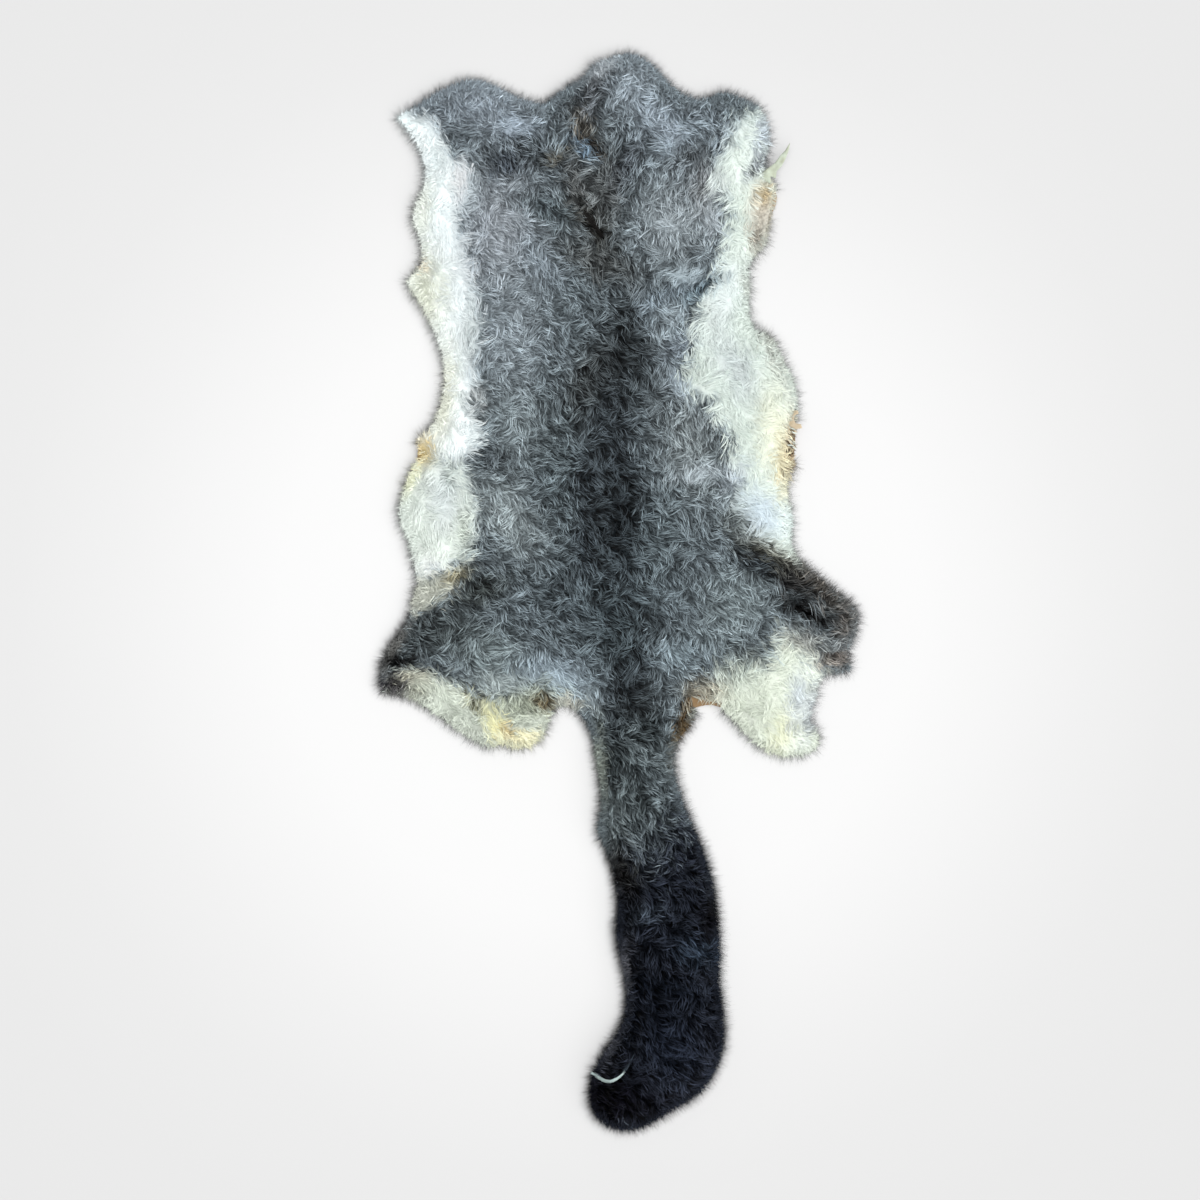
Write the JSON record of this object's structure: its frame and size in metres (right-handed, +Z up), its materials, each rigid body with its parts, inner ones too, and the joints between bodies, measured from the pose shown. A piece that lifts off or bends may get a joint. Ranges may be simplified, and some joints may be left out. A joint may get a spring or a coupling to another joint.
{
  "type": "possum skin",
  "caption": "Tanned possum skin laid out flat with the fur up: grey back, pale flanks, spread hind legs and a long bushy black tail that bends at its tip.",
  "frame": {"origin": "centre of the skin's box, on the flat flesh side that it lies on", "axes": "+Y along the skin towards the neck, +Z up out of the fur, +X to the right seen from above with the neck away from the viewer"},
  "size_m": [0.3476, 0.7848, 0.0308],
  "materials": {
    "fur": "soft dense fur, salt-and-pepper grey on the back, cream white on the flanks and black on the tail",
    "hide": "matt tan suede, bare at a few places on the rim"
  },
  "bodies": {
    "root": {"pelt": "fur"}
  },
  "joints": []
}
